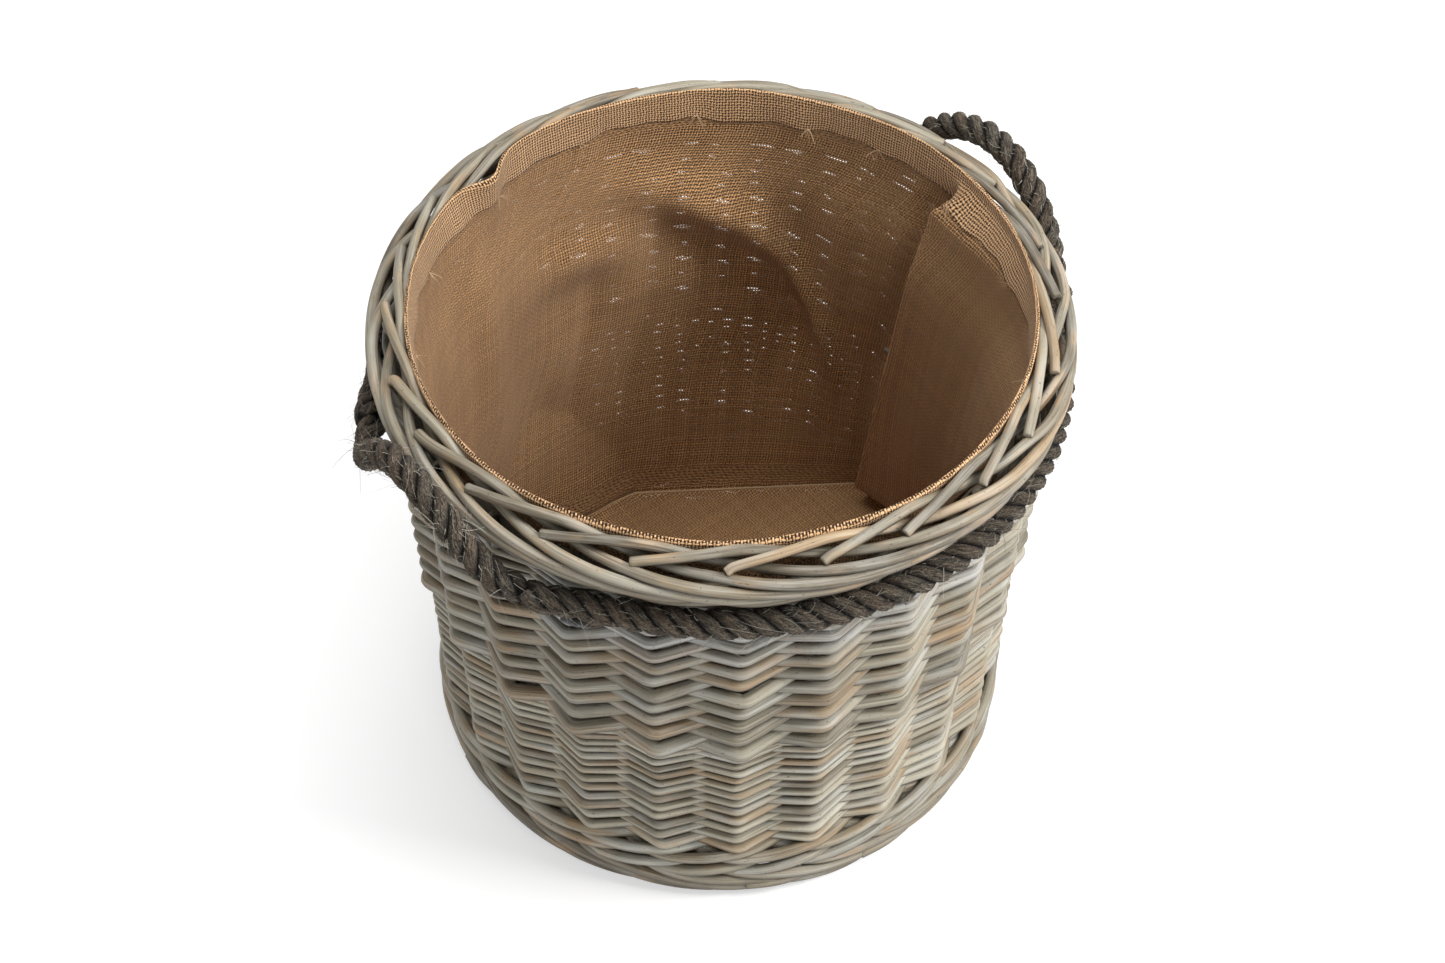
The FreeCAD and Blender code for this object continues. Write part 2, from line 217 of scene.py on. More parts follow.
# --- Materials --------------------------------------------------------------------------------------
class Nodes:
    """Short names for the few node patterns that the materials use."""

    def __init__(self, name):
        self.material = bpy.data.materials.new(name)
        self.material.use_nodes = True
        self.tree = self.material.node_tree
        self.shader = self.tree.nodes["Principled BSDF"]

    def new(self, kind, inputs=(), **settings):
        node = self.tree.nodes.new(kind)
        for key, value in settings.items():
            setattr(node, key, value)
        for key, value in dict(inputs).items():
            if isinstance(value, bpy.types.NodeSocket):
                self.tree.links.new(value, node.inputs[key])
            else:
                node.inputs[key].default_value = value
        return node

    def attribute(self, name, vector=True):
        node = self.new("ShaderNodeAttribute", attribute_name=name)
        return node.outputs["Vector" if vector else "Fac"]

    def math(self, operation, a, b=0.0, c=0.0):
        return self.new("ShaderNodeMath", {0: a, 1: b, 2: c}, operation=operation).outputs[0]

    def stretch(self, vector, scale):
        node = self.new("ShaderNodeVectorMath", {0: vector, 1: scale}, operation="MULTIPLY")
        return node.outputs[0]

    def noise(self, vector, scale, detail=3.0, rough=0.55, distortion=0.0):
        node = self.new("ShaderNodeTexNoise", {"Vector": vector, "Scale": scale, "Detail": detail,
                                               "Roughness": rough, "Distortion": distortion})
        return node.outputs["Fac"]

    def ramp(self, factor, stops):
        node = self.new("ShaderNodeValToRGB", {"Fac": factor})
        while len(node.color_ramp.elements) < len(stops):
            node.color_ramp.elements.new(0.5)
        for element, (place, colour) in zip(node.color_ramp.elements, stops):
            element.position = place
            element.color = (*colour, 1)
        return node.outputs["Color"]

    def level(self, factor, low, high, to_low=0.0, to_high=1.0):
        node = self.new("ShaderNodeMapRange", {"Value": factor, "From Min": low, "From Max": high,
                                               "To Min": to_low, "To Max": to_high})
        return node.outputs["Result"]

    def mix(self, factor, a, b, blend="MIX"):
        node = self.new("ShaderNodeMix", data_type="RGBA", blend_type=blend)
        for socket, value in ((node.inputs[0], factor), (node.inputs[6], a), (node.inputs[7], b)):
            if isinstance(value, bpy.types.NodeSocket):
                self.tree.links.new(value, socket)
            elif isinstance(value, tuple):
                socket.default_value = (*value, 1)
            else:
                socket.default_value = value
        return node.outputs[2]

    def bump(self, height, strength, distance, normal=None):
        inputs = {"Height": height, "Strength": strength, "Distance": distance}
        if normal is not None:
            inputs["Normal"] = normal
        return self.new("ShaderNodeBump", inputs).outputs["Normal"]

    def finish(self, colour, normal, roughness, specular=0.5, sheen=0.0):
        self.tree.links.new(colour, self.shader.inputs["Base Color"])
        self.tree.links.new(normal, self.shader.inputs["Normal"])
        if isinstance(roughness, bpy.types.NodeSocket):
            self.tree.links.new(roughness, self.shader.inputs["Roughness"])
        else:
            self.shader.inputs["Roughness"].default_value = roughness
        self.shader.inputs["Specular IOR Level"].default_value = specular
        self.shader.inputs["Sheen Weight"].default_value = sheen
        return self.material


def willow(name, pale, mid, dark, wash=0.5):
    """Buff willow under a worn grey-white wash, whitest just under the rope; every rod has its own
    tone, the grain runs along it, and painted shade darkens its under side."""
    n = Nodes(name)
    grain, tint, under = n.attribute("grain"), n.attribute("tint", False), n.attribute("under", False)
    tone = n.ramp(tint, [(0.0, dark), (0.2, mid), (0.58, pale), (0.84, mid), (1.0, (0.33, 0.225, 0.12))])
    blotch = n.noise(n.stretch(grain, (60.0, 60.0, 16.0)), 1.0, 3.0)
    warm = n.noise(n.stretch(grain, (90.0, 90.0, 26.0)), 1.0, 2.0)
    fibres = n.noise(n.stretch(grain, (900.0, 900.0, 26.0)), 1.0, 4.0, 0.6)
    streaks = n.noise(n.stretch(grain, (420.0, 420.0, 9.0)), 1.0, 3.0, 0.6)
    place = n.new("ShaderNodeTexCoord").outputs["Object"]
    height = n.new("ShaderNodeSeparateXYZ", {0: place}).outputs["Z"]
    whiter = n.math("MULTIPLY", n.level(height, UPPER_TOP - 60 * MM, UPPER_TOP - 12 * MM, 0.0, 0.75),
                    n.level(height, GROOVE_TOP, UPPER_TOP, 0.0, 1.0))
    patchy = n.level(n.noise(place, 16.0, 3.0), 0.42, 0.56)
    colour = n.mix(n.level(warm, 0.52, 0.70, 0.0, 0.7), tone, (0.37, 0.235, 0.115))
    colour = n.mix(n.level(blotch, 0.46, 0.64, 0.0, wash), colour, (0.50, 0.51, 0.48))
    colour = n.mix(n.math("MULTIPLY", whiter, patchy), colour, (0.60, 0.64, 0.68))
    colour = n.mix(n.level(streaks, 0.54, 0.34, 0.0, 0.75), colour, (0.34, 0.28, 0.20), "MULTIPLY")
    colour = n.mix(n.level(fibres, 0.40, 0.66, 0.0, 0.25), colour, (0.56, 0.53, 0.45))
    flecks = n.noise(n.stretch(grain, (700.0, 700.0, 420.0)), 1.0, 1.0)
    colour = n.mix(n.level(flecks, 0.70, 0.76, 0.0, 0.8), colour, (0.06, 0.045, 0.03))
    # painted shade: each rod is darkened towards its under side, broken up by its streaks
    edge = n.math("ADD", under, n.level(streaks, 0.3, 0.7, -0.35, 0.35))
    colour = n.mix(n.level(edge, -0.32, 0.62, 0.0, 0.96), colour, (0.085, 0.062, 0.042), "MULTIPLY")
    normal = n.bump(streaks, 0.5, 0.0006)
    normal = n.bump(fibres, 0.45, 0.0003, normal)
    rough = n.level(blotch, 0.3, 0.7, 0.42, 0.66)
    return n.finish(colour, normal, rough, specular=0.45)


def hessian(name, thread, shade, pitch, open_mesh=False):
    """Plain-woven jute, from its own flat coordinates: two sets of round threads with holes between; painted
    shade darkens each thread where it dips under the other set, and darkens the holes.
    """
    n = Nodes(name)
    flat = n.attribute("cloth")
    sway = n.new("ShaderNodeTexNoise", {"Vector": flat, "Scale": 90.0, "Detail": 2.0}).outputs["Color"]
    offset = n.new("ShaderNodeVectorMath", {0: sway, 1: (0.5, 0.5, 0.5)}, operation="SUBTRACT").outputs[0]
    moved = n.new("ShaderNodeVectorMath", {0: offset, 1: (0.0030, 0.0030, 0.0), 2: flat},
                  operation="MULTIPLY_ADD").outputs[0]
    split = n.new("ShaderNodeSeparateXYZ", {0: moved})
    waves, threads = [], []
    for axis in ("X", "Y"):
        count = n.math("DIVIDE", split.outputs[axis], pitch)
        waves.append(n.math("SINE", n.math("MULTIPLY", count, math.pi)))
        number = n.math("FLOOR", count)
        own_noise = n.new("ShaderNodeTexWhiteNoise", {"W": number}, noise_dimensions="1D")
        threads.append(own_noise.outputs["Value"])
    warp, weft = (n.math("ABSOLUTE", w) for w in waves)
    over = n.math("GREATER_THAN", n.math("MULTIPLY", waves[0], waves[1]), 0.0)
    height = n.math("ADD", n.math("MULTIPLY", warp, over),
                    n.math("MULTIPLY", weft, n.math("SUBTRACT", 1.0, over)))
    cover = n.math("MAXIMUM", warp, weft)
    own = n.math("ADD", n.math("MULTIPLY", threads[0], over),
                 n.math("MULTIPLY", threads[1], n.math("SUBTRACT", 1.0, over)))
    fuzz = n.noise(flat, 1400.0, 2.0, 0.6)
    patches = n.noise(flat, 9.0, 3.0)
    colour = n.mix(own, thread, shade)
    colour = n.mix(n.level(patches, 0.35, 0.7, 0.0, 0.35), colour, shade)
    colour = n.mix(n.level(fuzz, 0.3, 0.7, 0.0, 0.3), colour, (0.62, 0.44, 0.27))
    # painted shade: each thread is darkened where it dips under the other set
    colour = n.mix(n.level(height, 0.92, 0.45, 0.0, 0.9), colour, (0.11, 0.055, 0.024))
    # painted shade: the holes between threads, and the thinly covered cloth round them, are painted nearly
    # black; on the open wall and floor cloth the holes themselves are cut through
    hole = n.level(cover, 0.82, 0.66, 0.0, 1.0)
    colour = n.mix(hole, colour, (0.03, 0.016, 0.008))
    if open_mesh:
        n.tree.links.new(n.math("GREATER_THAN", cover, 0.60), n.shader.inputs["Alpha"])
    normal = n.bump(height, 0.7, 0.0012)
    normal = n.bump(fuzz, 0.4, 0.0004, normal)
    return n.finish(colour, normal, 0.92, specular=0.1, sheen=0.12)


def jute_rope(name):
    """Dark laid fibre: fine threads that run along each strand's yarns, browner and greyer in patches;
    painted shade darkens the hollows between yarns and the grooves between strands.
    """
    n = Nodes(name)
    grain, tint = n.attribute("grain"), n.attribute("tint", False)
    yarns = n.noise(n.stretch(grain, (900.0, 900.0, 130.0)), 1.0, 3.0, 0.7, 0.8)
    fibres = n.noise(n.stretch(grain, (2600.0, 2600.0, 260.0)), 1.0, 2.0, 0.6, 0.4)
    patch = n.noise(n.stretch(grain, (60.0, 60.0, 30.0)), 1.0, 3.0)
    colour = n.ramp(yarns, [(0.38, (0.009, 0.007, 0.005)), (0.50, (0.060, 0.045, 0.032)),
                            (0.62, (0.25, 0.205, 0.15))])
    colour = n.mix(n.level(patch, 0.42, 0.62, 0.0, 0.5), colour, (0.095, 0.056, 0.034))
    colour = n.mix(n.level(patch, 0.50, 0.34, 0.0, 0.4), colour, (0.050, 0.056, 0.050))
    colour = n.mix(n.level(fibres, 0.54, 0.66, 0.0, 0.75), colour, (0.36, 0.30, 0.22))
    # painted shade: here and in the ramp above, the colour goes nearly black where the yarn bump is lowest,
    # in the hollows between yarns
    colour = n.mix(n.level(yarns, 0.46, 0.36, 0.0, 0.9), colour, (0.006, 0.005, 0.004))
    colour = n.mix(n.math("MULTIPLY", tint, 0.15), colour, (0.12, 0.098, 0.07))
    # painted shade: darker where the surface lies deep between the strands
    groove = n.level(n.attribute("outward", False), 1.0, 0.76, 0.0, 0.97)
    colour = n.mix(groove, colour, (0.05, 0.045, 0.04), "MULTIPLY")
    normal = n.bump(yarns, 1.0, 0.0030)
    normal = n.bump(fibres, 1.0, 0.0010, normal)
    return n.finish(colour, normal, 0.88, specular=0.2, sheen=0.1)


def hair_material(name, colour_low, colour_high):
    n = Nodes(name)
    tint = n.attribute("tint", False)
    speck = n.noise(n.attribute("grain"), 900.0, 2.0)
    colour = n.mix(n.math("MULTIPLY", tint, n.level(speck, 0.2, 0.8, 0.5, 1.3)), colour_low, colour_high)
    normal = n.bump(speck, 0.2, 0.0001)
    return n.finish(colour, normal, 0.6, specular=0.3)


WALL_WILLOW = willow("willow_wall", (0.37, 0.345, 0.265), (0.25, 0.222, 0.16), (0.12, 0.10, 0.068), 0.55)
LOWER_WILLOW = willow("willow_lower", (0.48, 0.445, 0.345), (0.35, 0.315, 0.23), (0.19, 0.158, 0.11), 0.6)
BORDER_WILLOW = willow("willow_border", (0.255, 0.221, 0.155), (0.19, 0.158, 0.106), (0.105, 0.084, 0.056),
                       0.3)
STAKE_WILLOW = willow("willow_stake", (0.34, 0.30, 0.22), (0.28, 0.235, 0.17), (0.18, 0.15, 0.11), 0.2)
HESSIAN = hessian("hessian", (0.655, 0.37, 0.162), (0.40, 0.21, 0.086), 2.4 * MM, open_mesh=True)
# painted light: the hem's hessian is given paler colours than the wall's, standing in for the stronger light
# at the mouth of the lining
HEM_HESSIAN_PAINTED_LIGHTER = hessian("hessian_hem", (0.78, 0.49, 0.265), (0.60, 0.36, 0.18), 2.3 * MM)
ROPE = jute_rope("jute_rope")
HAIR = hair_material("rope_hair", (0.06, 0.055, 0.045), (0.70, 0.66, 0.56))
TUFT = hair_material("hessian_tuft", (0.30, 0.19, 0.10), (0.62, 0.45, 0.28))


def tape_material():
    n = Nodes("tape")
    object_place = n.new("ShaderNodeTexCoord").outputs["Object"]
    creases = n.noise(object_place, 700.0, 3.0)
    colour = n.ramp(creases, [(0.3, (0.006, 0.006, 0.007)), (0.7, (0.030, 0.030, 0.033))])
    return n.finish(colour, n.bump(creases, 0.5, 0.0008), 0.42, specular=0.5)


TAPE = tape_material()


# --- Wall -------------------------------------------------------------------------------------------
ROW_JITTER = 0.6 * MM
WEAVER_LOW, WEAVER_HIGH = 1.04, 1.24


def randing(name, low, pitches, node, material, butt=1.0, swing=1.12):
    """One weaver for each stake, all at once: in front of one stake and behind the next, always rising.
    pitches are the spacings of the rows of front strokes; a rod is about half as thick as its row is high."""
    steps = np.repeat(pitches, 2) / 2
    height = low + np.concatenate([[0], np.cumsum(steps)])
    thick = np.concatenate([steps[:1], (steps[:-1] + steps[1:]) / 2, steps[-1:]]) / 2
    lines = []
    stakes_passed = np.arange(-1, len(height) + 1)
    for weaver in range(STAKES):
        radius_here = np.interp(stakes_passed, np.arange(len(height)), thick)
        radius_here = radius_here * rng.uniform(WEAVER_LOW, WEAVER_HIGH) * butt
        z = np.interp(stakes_passed, np.arange(len(height)), height)
        z = z + rng.normal(0, ROW_JITTER, len(stakes_passed))
        z[0], z[-1] = z[1] - 1.5 * MM, z[-2]
        front = np.where(stakes_passed % 2 == 0, 1.0, -1.0)
        reach = swing * (STAKE_RADIUS + radius_here)
        angle = FIRST_STAKE + STEP * (weaver + stakes_passed) + rng.normal(0, 0.004, len(stakes_passed))
        line = rounded(round_z(stake_line(z) + front * reach, angle, z))
        spread = np.interp(np.linspace(0, 1, len(line)), np.linspace(0, 1, len(radius_here)), radius_here)
        lines.append((line, spread * (1 + 0.02 * rng.normal(0, 1, len(line)))))
    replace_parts(rods(name, lines, material, sides=10), node)


LOWER_ROWS = np.linspace(13.6, 7.8, 12)
LOWER_ROWS *= (LOWER_TOP - FOOT_WALE_TOP - 5 * MM) / LOWER_ROWS.sum()
randing("lower_randing", FOOT_WALE_TOP + 3 * MM, LOWER_ROWS, "lower_weave", LOWER_WILLOW)
UPPER_ROWS = np.array([19.0, 14.6, 15.2, 15.5, 17.0, 12.5, 14.6, 13.4, 12.2, 11.0])
UPPER_ROWS *= (UPPER_TOP - LOWER_TOP - 9.5 * MM) / UPPER_ROWS.sum()
randing("upper_randing", LOWER_TOP + 5.5 * MM, UPPER_ROWS, "upper_weave", WALL_WILLOW)
GROOVE_ROWS = np.array([9.5, 9.0]) * MM
randing("groove_randing", UPPER_TOP + 1 * MM, GROOVE_ROWS, "groove_weave", WALL_WILLOW, 0.9, 0.62)


def wale(name, low, rows, rod, node, material, flare=1.0):
    """Rows of three-rod wale: each rod passes in front of two stakes and behind the third."""
    lines = []
    for row in range(rows):
        middle = low + 2 * rod * (2 * row + 1)
        for strand in range(3):
            start = strand
            while start < STAKES + strand:
                span = int(rng.choice([9, 12, 15]))
                span = min(span, STAKES + strand - start)
                passed = np.arange(start - 1, start + span + 1)
                place = (passed - strand) % 3
                lift = np.choose(place, [-0.92, 0.78, 0.5]) * rod
                front = np.choose(place, [1.0, 1.08, -0.8]) * flare
                z = middle + lift + rng.normal(0, 0.35 * MM, len(passed))
                radius = stake_line(z) + front * (STAKE_RADIUS + rod)
                angle = FIRST_STAKE + STEP * passed + rng.normal(0, 0.006, len(passed))
                line = smooth_through(round_z(radius, angle, z), 7)
                butt_radius, tip_radius = rod * rng.uniform(0.93, 1.04), rod * rng.uniform(0.82, 0.95)
                lines.append((line, grown(line, butt_radius, tip_radius)))
                start += span
    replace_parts(rods(name, lines, material, sides=11), node)


wale("foot_waling", FOOT_TOP, 2, 4.6 * MM, "foot_wale", WALL_WILLOW)
wale("top_waling", GROOVE_TOP, 1, 4.1 * MM, "top_wale", BORDER_WILLOW, 0.82)

stake_lines = []
for number, node in enumerate(STAKE_NODES):
    stake_low, stake_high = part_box(node)[0].z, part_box(node)[1].z
    levels = np.linspace(stake_low, stake_high, 12)
    line = round_z(stake_line(levels), FIRST_STAKE + STEP * number, levels)
    line[:, :2] += rng.normal(0, 0.15 * MM, (12, 2))
    stake_lines.append((line, grown(line, STAKE_RADIUS, STAKE_RADIUS * 0.95, 0.03)))
stake_rods = rods("stakes", stake_lines, STAKE_WILLOW, sides=10, up=(0.31, 0.95, 0))
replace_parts(stake_rods, *STAKE_NODES)

# --- Border: from its cut end on top each rod runs to the inner edge, dips under its neighbours, ----
# crosses to the outer edge and goes down into the top wale.  Stations: stakes passed, radius, height,
# both in mm from the middle of the rim and from the top of the wale.
BORDER_STATIONS = [
    (-0.16, 1.0, 23.0), (0.0, -1.8, 24.6), (0.5, -7.6, 28.6), (1.0, -11.6, 29.2), (1.45, -12.4, 23.0),
    (1.9, -10.6, 17.0), (2.3, -4.5, 16.5), (2.7, 2.5, 18.0), (3.1, 7.8, 17.6), (3.6, 10.2, 14.0),
    (4.2, 10.8, 9.4), (4.8, 10.6, 5.4), (5.3, 8.0, 1.6), (5.7, 2.5, -1.0), (6.0, -3.0, -6.0),
    (6.2, -6.0, -11.0),
]
RIM_MIDDLE = RIM_RADIUS - 15 * MM


def plaited_border():
    lines = []
    for rod in range(STAKES):
        rows = np.array(BORDER_STATIONS)
        wander = rng.normal(0, 0.35, (len(rows), 2))
        rows[:, 1:] += wander
        rows[0, 0] += rng.uniform(-0.12, 0.10)
        line = smooth_through(rows, 7)
        angle = FIRST_STAKE + STEP * (rod + line[:, 0]) + rng.normal(0, 0.012)
        centre = round_z(RIM_MIDDLE + line[:, 1] * MM, angle, WALE_TOP + line[:, 2] * MM)
        lines.append((centre, grown(centre, 3.7 * MM * rng.uniform(0.94, 1.08), 4.2 * MM)))
    return lines


border = rods("plaited_border", plaited_border(), BORDER_WILLOW, sides=14)
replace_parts(border, "border_lower_tier", "border_upper_tier")

# --- Foot: rods rolled down round the lower edge and in under the basket ---------------------------
FOOT_CONTROL_LOW = 4.2
FOOT_CENTRE_LOW = 4.9
CUT_END_ANGLES = [math.radians(degrees) for degrees in (-122, -98, 64, 170)]
CUT_END_STATIONS = [(0.0, 0.5, 12.0), (0.5, 0.8, 13.0), (1.2, -5.0, 14.0), (1.8, -15.0, 15.0)]
FOOT_STATIONS = [
    (-0.9, -16.0, 31.0), (-0.4, -9.0, 29.0), (0.1, -1.5, 26.5), (0.6, 0.5, 22.5), (1.2, 0.5, 17.0),
    (1.9, -1.0, 11.0), (2.6, -4.0, 5.6), (3.2, -9.0, 4.2), (3.8, -15.0, 6.6), (4.3, -21.0, 11.0),
    (4.7, -26.0, 16.5),
]


def rolled_foot():
    lines = []
    for rod in range(STAKES):
        rows = np.array(FOOT_STATIONS)
        rows[:, 1:] += rng.normal(0, 0.5, (len(rows), 2))
        rows[:, 2] = np.maximum(rows[:, 2], FOOT_CONTROL_LOW)
        line = smooth_through(rows, 6)
        angle = FIRST_STAKE + STEP * (rod + line[:, 0]) + rng.normal(0, 0.015)
        z = np.maximum(line[:, 2], FOOT_CENTRE_LOW) * MM
        centre = round_z(FOOT_RADIUS + line[:, 1] * MM, angle, z)
        lines.append((centre, grown(centre, 4.5 * MM, 4.1 * MM)))
    for angle in CUT_END_ANGLES:
        line = smooth_through(CUT_END_STATIONS, 6)
        centre = round_z(FOOT_RADIUS + line[:, 1] * MM, angle + STEP * line[:, 0], line[:, 2] * MM)
        lines.append((centre, grown(centre, 4.2 * MM, 4.0 * MM)))
    return lines


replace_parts(rods("rolled_foot", rolled_foot(), BORDER_WILLOW, sides=12), "foot_border")

# --- Base: crossed sticks and rounds of thin rods woven on them ------------------------------------
STICKS_EACH_WAY = 6
STICK_SPACING = 14 * MM
STICK_POINTS = 16
BASE_ROUNDS = 24
FIRST_ROUND = 46 * MM
ROUND_SPACING = 6.55 * MM
ROUND_SWING = 4.9 * MM
ROUND_ROD = 3.15 * MM

stick_rods = []
for node in ("base_sticks_under", "base_sticks_over"):
    low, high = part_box(node)
    middle = (low.z + high.z) / 2
    along = 0 if node.endswith("under") else 1
    for k in range(STICKS_EACH_WAY):
        aside = (k - (STICKS_EACH_WAY - 1) / 2) * STICK_SPACING
        half = math.sqrt((BASE_RADIUS - 6 * MM) ** 2 - aside**2)
        run = np.linspace(-half, half, STICK_POINTS)
        line = np.zeros((STICK_POINTS, 3))
        line[:, along], line[:, 1 - along], line[:, 2] = run, aside, middle
        stick_rods.append((line, grown(line, 4.0 * MM, 3.8 * MM, 0.03)))
sticks = rods("base_sticks", stick_rods, STAKE_WILLOW, sides=10)
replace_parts(sticks, "base_sticks_under", "base_sticks_over")
base_lines = []
BASE_MIDDLE = (BASE_LOW + BASE_HIGH) / 2
for turn_number in range(BASE_ROUNDS):
    radius = FIRST_ROUND + ROUND_SPACING * turn_number
    passed = np.arange(STAKES + 1)
    z = BASE_MIDDLE + np.where((passed + turn_number) % 2 == 0, 1, -1) * ROUND_SWING
    z[-1] = z[0]
    turned = FIRST_STAKE + STEP * passed + 0.13 * turn_number
    line = rounded(round_z(radius + np.zeros(STAKES + 1), turned, z), 0.3)
    base_lines.append((line, ROUND_ROD * rng.uniform(0.93, 1.03)))
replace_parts(rods("base_rounds", base_lines, WALL_WILLOW, sides=8), "base_weave")

# --- Rope ------------------------------------------------------------------------------------------
ROPE_RADIUS = 10 * MM
LAY = 47 * MM
HALF_ANGLE = math.radians(20)
FOOT_RING = 262 * MM
BAND_Z = (UPPER_TOP + GROOVE_TOP) / 2
FOOT_Z = BAND_Z + 4 * MM
BAND_RADIUS = stake_line(BAND_Z) + STAKE_RADIUS + ROPE_RADIUS + 0.9 * MM

# The handles' routes: share of the half angle, distance out from the ring of the feet, and height.
RIGHT_ROUTE = [
    (-0.880, 3.6, 5), (-0.720, 5.2, 18), (-0.570, 5.2, 31), (-0.376, 5.6, 44),
    (-0.139, 6.5, 53), (0.128, 7, 55), (0.384, 7.1, 50), (0.611, 7.3, 38),
    (0.786, 7.3, 22), (0.902, 4.3, 7),
]
LEFT_ROUTE = [
    (0.897, 4.1, 4), (0.779, 6, 13), (0.602, 6.6, 27), (0.363, 7.4, 45),
    (0.096, 7.4, 54), (-0.158, 7.8, 53), (-0.375, 9.6, 41), (-0.526, 11.6, 25),
    (-0.664, 10.6, 9), (-0.824, 6.0, 0),
]
BAND_LEAD = [(2.32, 1.0), (3.5, 0.92), (7, 0.55), (10.5, 0.16)]
BAND_RUNS = 14
LEAD_END = 4.5
STRAND_OFFSET = 0.575
STRAND_RADIUS = 0.487
STRAND_SIDES = 36
YARN_RIDGES = (9, 0.085, 28 * MM)
HANDLE_HAIRS = 2500
BAND_HAIRS = 2300


def handle_route(route, middle):
    first = math.copysign(1, route[0][0])
    rows = np.array([(first, 0, 0), *route, (-first, 0, 0)], float)
    return round_z(FOOT_RING + rows[:, 1] * MM, middle + rows[:, 0] * HALF_ANGLE, FOOT_Z + rows[:, 2] * MM)


def band_route(turn):
    last = BAND_LEAD[-1][0] + LEAD_END
    half = math.degrees(HALF_ANGLE)
    lead = [(half + angle, share) for angle, share in BAND_LEAD]
    run = (180 - 2 * (half + last)) / BAND_RUNS
    rows = lead + [(half + last + run * i, 0.0) for i in range(BAND_RUNS + 1)]
    rows = np.array(rows + [(180 - angle, share) for angle, share in reversed(lead)])
    radius = BAND_RADIUS + rows[:, 1] * (FOOT_RING - BAND_RADIUS)
    return round_z(radius, turn + np.radians(rows[:, 0]), BAND_Z + rows[:, 1] * (FOOT_Z - BAND_Z))


def spline_points(name, route):
    """The points of a smooth line whose control points are the route."""
    curve = bpy.data.curves.new(name, "CURVE")
    curve.dimensions = "3D"
    curve.resolution_u = 14
    spline = curve.splines.new("NURBS")
    spline.points.add(len(route) - 1)
    for point, place in zip(spline.points, route):
        point.co = (*place, 1)
    spline.order_u = 3
    spline.use_endpoint_u = True
    holder = bpy.data.objects.new(name, curve)
    bpy.context.scene.collection.objects.link(holder)
    bpy.context.view_layer.update()
    mesh = bpy.data.meshes.new_from_object(holder)
    points = np.array([v.co for v in mesh.vertices], float)
    bpy.data.meshes.remove(mesh)
    bpy.data.objects.remove(holder)
    bpy.data.curves.remove(curve)
    return points


def evenly(points, spacing):
    length = along_line(points)
    wanted = np.linspace(0, length[-1], int(length[-1] / spacing) + 1)
    return np.stack([np.interp(wanted, length, points[:, k]) for k in range(3)], -1)


def mark_outward(mesh, outward):
    """How far out from the middle of the rope each point stands: 1 is the rope's own radius."""
    store = mesh.attributes.new("outward", "FLOAT", "POINT")
    store.data.foreach_set("value", outward.astype(np.float32))


def laid_rope(name, centre, body, round_ends, phase=0.0):
    """Three strands laid round a centreline, each with the ridges of its yarns."""
    tangent, across, over = line_frames(centre)
    length = along_line(centre)
    size = np.ones(len(centre))
    if round_ends:
        start = centre[0] - tangent[0] * np.array([[7.6], [5.0], [2.5]]) * MM
        end = centre[-1] + tangent[-1] * np.array([[2.5], [5.0], [7.6]]) * MM
        centre = np.vstack([start, centre, end])
        across, over = (np.vstack([np.repeat(f[:1], 3, 0), f, np.repeat(f[-1:], 3, 0)])
                        for f in (across, over))
        length = along_line(centre)
        size = np.concatenate([[0.62, 0.85, 0.96], size, [0.96, 0.85, 0.62]])
    lines = []
    for strand in range(3):
        twist = phase + 2 * math.pi * (strand / 3 - length / LAY)
        aside = across * np.cos(twist)[:, None] + over * np.sin(twist)[:, None]
        waver = 1 + 0.035 * np.sin(length / 0.017 + 2 * strand) + rng.normal(0, 0.008, len(length))
        strand_line = centre + aside * (STRAND_OFFSET * ROPE_RADIUS * size)[:, None]
        lines.append((strand_line, STRAND_RADIUS * ROPE_RADIUS * size * waver))
    rope = rods(name, lines, ROPE, sides=STRAND_SIDES, body=body, lobes=YARN_RIDGES, rough=0.02)
    middle = np.repeat(np.vstack([centre[:1], centre, centre[-1:]]), STRAND_SIDES, axis=0)
    middle = np.tile(middle, (3, 1))
    places = np.empty(middle.size)
    rope.data.vertices.foreach_get("co", places)
    mark_outward(rope.data, np.linalg.norm(places.reshape(-1, 3) - middle, axis=1) / ROPE_RADIUS)
    return rope


def rope_hairs(name, centre, body, per_metre):
    """Loose fibre ends that stand out of the rope and curl."""
    tangent, across, over = line_frames(centre)
    length = along_line(centre)
    lines = []
    for _ in range(int(length[-1] * per_metre)):
        k = rng.integers(2, len(centre) - 2)
        short = rng.uniform() < 0.5
        turn = rng.uniform(0, 2 * math.pi)
        out = across[k] * math.cos(turn) + over[k] * math.sin(turn)
        side = np.cross(tangent[k], out)
        lean = tangent[k] * rng.choice([-1, 1]) * rng.uniform(0.6, 1.6) + side * rng.normal(0, 0.5)
        reach = rng.uniform(2, 5) * MM if short else min(4 + rng.exponential(7), 24) * MM
        t = np.linspace(0, 1, 6)[:, None]
        curl = side * rng.normal(0, 0.5) + tangent[k] * rng.normal(0, 0.4) + np.array([0, 0, -0.3])
        way = unit(out * rng.uniform(0.5, 1.0) + lean)
        line = centre[k] + out * ROPE_RADIUS * 0.86 + reach * (t * way + t**2 * curl * 0.5)
        lines.append((line, rng.uniform(0.10, 0.19) * MM * (1 - 0.6 * t[:, 0])))
    return rods(name, lines, HAIR, sides=4, body=body, up=(0.36, 0.48, 0.8))


def handle(side, route, middle, node, body):
    centre = spline_points(side + "_route", handle_route(route, middle))
    line = evenly(centre, 1.2 * MM)
    rope = laid_rope("rope_handle_" + side, line, body, True)
    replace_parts(rope, node)
    hairs = rope_hairs("rope_hairs_" + side, line, body, HANDLE_HAIRS)


